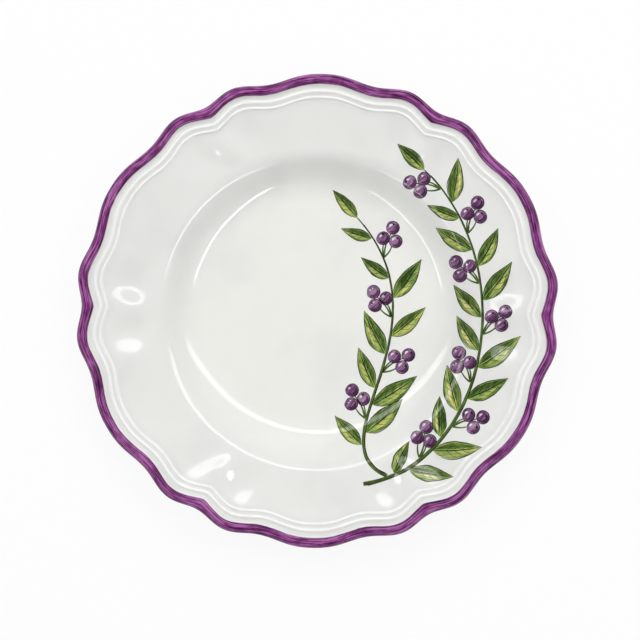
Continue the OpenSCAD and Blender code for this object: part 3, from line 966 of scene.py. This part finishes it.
class PLATE_OT_face_glaze(bpy.types.Operator):
    """Make the glaze over the upper face, from the floor to the lip"""

    bl_idname = "plate.face_glaze"
    bl_label = "Face glaze"

    def execute(self, context):
        plate = form()
        radii = plate.face_radii()
        top = [(r, plate.clay_z(r) + plate.s.glaze_t) for r in radii]
        # The hidden side needs only every third ring
        under = [(r, plate.clay_z(r)) for r in radii[-3::-3]]
        section = top + [plate.lip_point(BAND_TOP, plate.s.glaze_t)] + under + [(0, plate.floor_z)]
        finish_piece(spun(section), "face_coat", glaze_material("face_glaze"), "glaze", "face_glaze")
        return {"FINISHED"}


class PLATE_OT_back_glaze(bpy.types.Operator):
    """Make the glaze under the plate, outside and inside the foot"""

    bl_idname = "plate.back_glaze"
    bl_label = "Back glaze"

    def execute(self, context):
        plate = form()
        s = plate.s
        end = plate.foot_out_r + s.coat_gap
        glazed = plate.back_line(s.glaze_t) + [(end, s.foot_h - s.glaze_t)]
        under = [(end, s.foot_h)] + plate.back_line()[::-1]
        material = glaze_material("back_glaze")
        finish_piece(spun(glazed + under, closed=True), "back_coat", material, "glaze", "back_glaze")
        lean = s.foot_lean * s.glaze_t / (s.foot_h - s.foot_chamfer)
        inside = plate.foot_in_r + lean
        disc = [(0, s.foot_h), (plate.foot_in_r, s.foot_h), (inside, s.foot_h - s.glaze_t)]
        disc += [(inside * ring, s.foot_h - s.glaze_t) for ring in BASE_RINGS]
        finish_piece(spun(disc, scallop=False), "base_coat", material, "glaze", "base_glaze")
        return {"FINISHED"}


class PLATE_OT_band(bpy.types.Operator):
    """Make the purple band round the lip"""

    bl_idname = "plate.band"
    bl_label = "Rim band"

    def execute(self, context):
        plate = form()
        turns = even(BAND_TOP, BAND_END, BAND_STEPS)
        section = [plate.lip_point(turn) for turn in turns]
        # The hidden side needs only every fourth point
        section += [plate.lip_point(turn, plate.s.glaze_t) for turn in turns[::-4]]
        finish_piece(spun(section, closed=True), "lip_band", glaze_material("lip_band"), "band", "rim_band")
        return {"FINISHED"}


class PLATE_OT_stems(bpy.types.Operator):
    """Paint the two stems and the berries' stalks"""

    bl_idname = "plate.stems"
    bl_label = "Stems"

    def execute(self, context):
        c, s = context.scene.plate_colours, context.scene.spray_sizes
        stems, stalks = Paint(s.wash_lift), Paint(s.wash_lift)
        for k, branch in enumerate(branches()):
            stems.stroke(
                branch.at, lambda t: branch.half(t) * about(1, STEM_WAVER, t * 22, k * 5),
                tone=0.42, cells=(160, 4),
            )
            for n, (middle, root) in enumerate(branch.berries()):
                end = root + (middle - root) * (1 - s.berry_d / 2 / (middle - root).length)
                bow = Vector((-(end - root).y, (end - root).x)) * STALK_BOW * (1 if n % 2 else -1)
                stalks.stroke(
                    lambda u: root.lerp(end, u) + bow * math.sin(math.pi * u),
                    lambda u: s.stalk_w / 2 * (STALK_ROOT - STALK_TAPER * u), tone=0.45, cells=(14, 2),
                )
        stops = ((0.1, c.leaf_dark), (0.4, c.stem), (0.65, c.leaf_mid), (0.9, c.leaf_light))
        stems.dry("stems", paint_material("stem_green", stops), "stem_green", "stems")
        stalks.dry("stalks", paint_material("stalk_green", stops), "stem_green", "stalks")
        return {"FINISHED"}


class PLATE_OT_leaves(bpy.types.Operator):
    """Paint the leaves: a wash, a darker half and a warm touch"""

    bl_idname = "plate.leaves"
    bl_label = "Leaves"

    def execute(self, context):
        c, s = context.scene.plate_colours, context.scene.spray_sizes
        wash, shade, warm = Paint(s.wash_lift), Paint(s.touch_lift), Paint(s.touch_lift)
        leaves = [leaf for branch in branches() for leaf in branch.leaves()]
        for n, leaf in enumerate(leaves):
            wash.stroke(leaf.at, leaf.half, tone=about(0.58, 0.14, n * 3.1), cells=(36, 10))
            shade.stroke(*leaf.touch(LEAF_SHADE, n * 2.7), tone=about(0.4, 0.12, n * 5.3), cells=(30, 5))
            warm.stroke(*leaf.touch(LEAF_WARMTH), tone=about(0.5, 0.2, n * 4.7), cells=(24, 4))
        green = ((0.15, c.leaf_dark), (0.42, c.leaf_mid), (0.66, c.leaf_light), (0.95, c.yellow))
        deep = ((0.2, c.leaf_dark), (0.55, c.leaf_mid), (0.9, c.leaf_light))
        bright = ((0.1, c.leaf_mid), (0.4, c.leaf_light), (0.6, c.yellow), (0.95, c.glaze))
        wash.dry("leaves", paint_material("leaf_wash", green), "leaf_green", "leaves")
        shade.dry("leaf_shades", paint_material("leaf_shade", deep, streaks=1.3, edge=0.3), "leaf_green")
        warm.dry("leaf_lights", paint_material("leaf_light", bright, streaks=1.2, edge=0), "leaf_light")
        return {"FINISHED"}


class PLATE_OT_berries(bpy.types.Operator):
    """Paint the berries: a wash, a darker side and a light left in it"""

    bl_idname = "plate.berries"
    bl_label = "Berries"

    def execute(self, context):
        c, s = context.scene.plate_colours, context.scene.spray_sizes
        wash, shade, light = Paint(s.wash_lift), Paint(s.touch_lift), Paint(s.touch_lift)
        middles = [middle for branch in branches() for middle, _ in branch.berries()]
        for n, middle in enumerate(middles):
            radius = s.berry_d / 2 * about(1, BERRY_WAVER, n * 2.3)
            brushed = polar(1, about(0.9, 0.5, n * 1.7))

            def half(u):
                return max(radius * math.sin(math.pi * u) * about(1, BERRY_WAVER, u * 4, n), s.brush_tip)

            wash.stroke(
                lambda u: middle - brushed * radius * math.cos(math.pi * u), half,
                tone=about(0.52, 0.15, n * 3.3), cells=(16, 8),
            )
            shaded = berry_touch(BERRY_SHADE, middle, radius, s.brush_tip)
            shade.stroke(*shaded, tone=about(0.3, 0.1, n * 6.1), cells=(20, 3))
            light.stroke(*berry_touch(BERRY_LIGHT, middle, radius, s.brush_tip), tone=0.6, cells=(10, 3))
        purple = ((0.12, c.berry_dark), (0.45, c.berry_mid), (0.85, c.berry_light))
        deep = ((0.1, c.berry_dark), (0.8, c.berry_mid))
        pale = ((0.2, c.berry_light), (0.8, c.glaze))
        wash.dry("berries", paint_material("berry_wash", purple), "berry", "berries")
        shade.dry("berry_shades", paint_material("berry_shade", deep, streaks=1.2, edge=0), "berry")
        light.dry("berry_lights", paint_material("berry_light", pale, streaks=0.6, edge=0), "berry_light")
        return {"FINISHED"}


class PLATE_OT_ink(bpy.types.Operator):
    """Draw the ink lines: leaf ribs, side veins, loose outlines and berry arcs"""

    bl_idname = "plate.ink"
    bl_label = "Ink lines"

    def execute(self, context):
        c, s = context.scene.plate_colours, context.scene.spray_sizes
        ink = Paint(s.ink_lift)
        self.half = s.ink_w / 2
        for k, branch in enumerate(branches()):
            # Numbered from here, the marks of the two stems waver apart
            first = STEM_MARKS * k
            for n, leaf in enumerate(branch.leaves(), first):
                self.draw_leaf(ink, leaf, n)
            for n, (middle, root) in enumerate(branch.berries(), first):
                self.draw_berry(ink, middle, root, s.berry_d / 2, n)
            self.draw_stem(ink, branch, k)
        stops = ((0.3, c.ink), (0.9, c.leaf_dark))
        ink.dry("ink_lines", paint_material("ink", stops, streaks=0.5, edge=0), "ink")
        return {"FINISHED"}

    def line(self, ink, path, weight, cells=(22, 2)):
        """A pen stroke that swells in its middle and runs out at its ends."""
        ink.stroke(
            path, lambda u: self.half * weight * (0.3 + 0.7 * math.sin(math.pi * u) ** 0.7),
            tone=0.35, cells=cells,
        )

    def draw_stem(self, ink, branch, k):
        """A loose line down the right side of a stem."""
        def beside(t):
            along = 0.01 + 0.97 * t
            out = branch.half(t) * about(0.95, 0.3, t * 14, k)
            return branch.at(along) + polar(out, branch.way(along) - math.pi / 2)

        ink.stroke(
            beside, lambda t: self.half * about(0.75, 0.45, t * 30, k * 3), tone=0.4, cells=(160, 2)
        )

    def draw_leaf(self, ink, leaf, n):
        """The rib of a leaf, and on each side its outline and its side veins."""
        shift = 0.06 * wobble(n * 1.9)
        self.line(ink, lambda u: leaf.at(0.02 + 0.92 * u, shift * math.sin(math.pi * u)), weight=1)
        for across in (-1, 1):
            # An outline starts some way up the leaf and strays beside its edge
            start = 0.04 + 0.22 * abs(wobble(n * 2.9, across))
            stray = about(1.02, 0.12, n * 4.1, across)
            self.line(
                ink, lambda u: leaf.at(start + (1 - start) * u, across * about(stray, 0.1, u * 4, n)),
                weight=0.8, cells=(26, 2),
            )
            for vein in LEAF_VEINS:
                self.line(
                    ink, lambda u: leaf.at(vein + VEIN_RUN * u, across * VEIN_REACH * u),
                    weight=0.42, cells=(8, 2),
                )

    def draw_berry(self, ink, middle, root, radius, n):
        """The open outline of a berry, and three short lines at its end."""
        start = about(-170, 60, n * 2.1)

        def outline(u):
            reach = radius * about(1.02, 0.07, u * 3, n)
            return middle + polar(reach, math.radians(start + BERRY_SWEEP * u))

        self.line(ink, outline, weight=0.8, cells=(30, 2))
        outward = (middle - root).normalized()
        for turn in BERRY_CROWN:
            toward = polar(radius * CROWN_LENGTH, math.atan2(outward.y, outward.x) + math.radians(turn))
            self.line(
                ink, lambda u: middle + outward * radius * CROWN_START + toward * u,
                weight=0.6, cells=(6, 2),
            )


# The camera looks straight down, and this is the pixel of the photo on which the plate's middle lies
PHOTO_PIXELS = 640
PLATE_PIXEL = (317.4, 310.9)
# Metres to a pixel at the height of the rim
PIXEL = 0.5644 * MM
# The camera's turn, its height over the rim and the width of its sensor in millimetres
CAMERA_TURN = math.radians(1.14)
CAMERA_DISTANCE = 0.973
SENSOR = 36
# Strength of the even light that the world gives, and its tone low down and overhead where it is seen
DIFFUSE_WORLD = 0.393
SEEN_WORLD = ((0.25, 0.94), (0.6, 0.2))
# Soft boxes behind the plate, each as its bearing, its rise, its width, its height and its power in watts
SOFT_BOX_DISTANCE = 3.2
SOFT_BOXES = (
    (90, 40, 2.4, 1.6, 33), (35, 52, 1.9, 1.4, 9), (145, 52, 1.9, 1.4, 9),
)
# Strip lamps that draw bright lines in the glaze, each as its middle, its turn, its sides and its power
STRIPS = (
    ((0, 0.3, 1), 0, (2, 0.15), 2.9),
    ((0.38, -0.39, 0.95), -19, (0.055, 0.62), 1), ((-0.38, -0.39, 0.95), 19, (0.055, 0.62), 0.6),
)
# The floor: its size, its drop below the foot, its glow, and its tone where it is seen and where it lights
FLOOR_SIZE = 8
FLOOR_DROP = 0.1 * MM
FLOOR_GLOW = 0.885
FLOOR_SEEN = 0.11
FLOOR_LIT = 0.8


class PLATE_OT_stage(bpy.types.Operator):
    """Set up the pale floor, the soft light and the camera over the plate"""

    bl_idname = "plate.stage"
    bl_label = "Stage"

    def execute(self, context):
        self.camera(context)
        self.lights()
        self.world(context)
        self.floor()
        context.scene.view_settings.view_transform = "Standard"
        return {"FINISHED"}

    def camera(self, context):
        data = bpy.data.cameras.new("camera")
        data.sensor_width = SENSOR
        data.lens = SENSOR * CAMERA_DISTANCE / (PIXEL * PHOTO_PIXELS)
        data.dof.use_dof = False
        camera = placed("camera", data)
        right = (PHOTO_PIXELS / 2 - PLATE_PIXEL[0]) * PIXEL
        up = -(PHOTO_PIXELS / 2 - PLATE_PIXEL[1]) * PIXEL
        place = Vector((right, up))
        place.rotate(Matrix.Rotation(CAMERA_TURN, 2))
        camera.location = (place.x, place.y, CAD_BOX[1][2] + CAMERA_DISTANCE)
        camera.rotation_euler = (0, 0, CAMERA_TURN)
        context.scene.camera = camera

    def lights(self):
        for bearing, rise, width, height, power in SOFT_BOXES:
            flat = polar(math.cos(math.radians(rise)), math.radians(bearing))
            place = Vector((flat.x, flat.y, math.sin(math.radians(rise)))) * SOFT_BOX_DISTANCE
            aim = (-place).to_track_quat("-Z", "Y").to_euler()
            box = self.area(f"soft_box_{bearing}", place, aim, (width, height), power)
            box.visible_glossy = False
        for n, (place, turn, size, power) in enumerate(STRIPS):
            self.area(f"strip_{n}", place, (0, 0, math.radians(turn)), size, power)

    def area(self, name, place, aim, size, power):
        data = bpy.data.lights.new(name, "AREA")
        data.shape = "RECTANGLE"
        data.size, data.size_y, data.energy = *size, power
        lamp = placed(name, data)
        lamp.location = place
        lamp.rotation_euler = aim
        lamp.visible_camera = False
        return lamp

    def world(self, context):
        world = bpy.data.worlds.new("studio")
        sky = Nodes(world)
        even_light = sky.nodes["Background"]
        sky.fill(even_light, {"Color": grey(1), "Strength": DIFFUSE_WORLD})
        upward = sky.parts(sky.node("ShaderNodeTexCoord").outputs["Generated"])[2]
        fade = sky.node("ShaderNodeValToRGB", {"Fac": upward})
        for element, (place, tone) in zip(fade.color_ramp.elements, SEEN_WORLD):
            element.position = place
            element.color = grey(tone)
        shown = sky.node("ShaderNodeBackground", {"Color": fade.outputs["Color"]})
        sky.shown_apart(even_light, shown, "World Output")
        context.scene.world = world

    def floor(self):
        bm = bmesh.new()
        bmesh.ops.create_grid(bm, x_segments=8, y_segments=8, size=FLOOR_SIZE / 2)
        bmesh.ops.translate(bm, verts=bm.verts, vec=(0, 0, -FLOOR_DROP))
        mesh = meshed(bm, "floor")
        floor = placed("floor", mesh)
        sh = Shader("pale_floor")
        sh.nodes.remove(sh.surface)
        cast = sh.node("ShaderNodeBsdfDiffuse", {"Color": grey(FLOOR_SEEN)})
        glow = sh.node("ShaderNodeEmission", {"Strength": FLOOR_GLOW})
        shown = sh.node("ShaderNodeAddShader", {0: cast.outputs[0], 1: glow.outputs[0]})
        pale = sh.node("ShaderNodeBsdfDiffuse", {"Color": grey(FLOOR_LIT)})
        sh.shown_apart(pale, shown, "Material Output")
        mesh.materials.append(sh.material)


class PLATE_PT_panel(bpy.types.Panel):
    """Lists the plate's pieces and its sizes"""

    bl_idname = "PLATE_PT_panel"
    bl_label = "Scalloped plate"
    bl_space_type = "VIEW_3D"
    bl_region_type = "UI"
    bl_category = "Plate"

    def draw(self, context):
        for operator in OPERATORS:
            self.layout.operator(operator.bl_idname)
        for group in (context.scene.plate_sizes, context.scene.spray_sizes, context.scene.plate_colours):
            box = self.layout.box()
            for name in group.__annotations__:
                box.prop(group, name)


OPERATORS = (
    PLATE_OT_clay, PLATE_OT_foot, PLATE_OT_face_glaze, PLATE_OT_back_glaze, PLATE_OT_band,
    PLATE_OT_stems, PLATE_OT_leaves, PLATE_OT_berries, PLATE_OT_ink, PLATE_OT_stage,
)
CLASSES = (PlateSizes, SpraySizes, PlateColours) + OPERATORS + (PLATE_PT_panel,)


def register():
    for cls in CLASSES:
        bpy.utils.register_class(cls)
    bpy.types.Scene.plate_sizes = PointerProperty(type=PlateSizes)
    bpy.types.Scene.spray_sizes = PointerProperty(type=SpraySizes)
    bpy.types.Scene.plate_colours = PointerProperty(type=PlateColours)


def unregister():
    del bpy.types.Scene.plate_colours
    del bpy.types.Scene.spray_sizes
    del bpy.types.Scene.plate_sizes
    for cls in reversed(CLASSES):
        bpy.utils.unregister_class(cls)


def main():
    register()
    bpy.ops.plate.stage()
    bpy.ops.plate.clay()
    bpy.ops.plate.foot()
    bpy.ops.plate.face_glaze()
    bpy.ops.plate.back_glaze()
    bpy.ops.plate.band()
    bpy.ops.plate.stems()
    bpy.ops.plate.leaves()
    bpy.ops.plate.berries()
    bpy.ops.plate.ink()


if __name__ == "__main__":
    main()
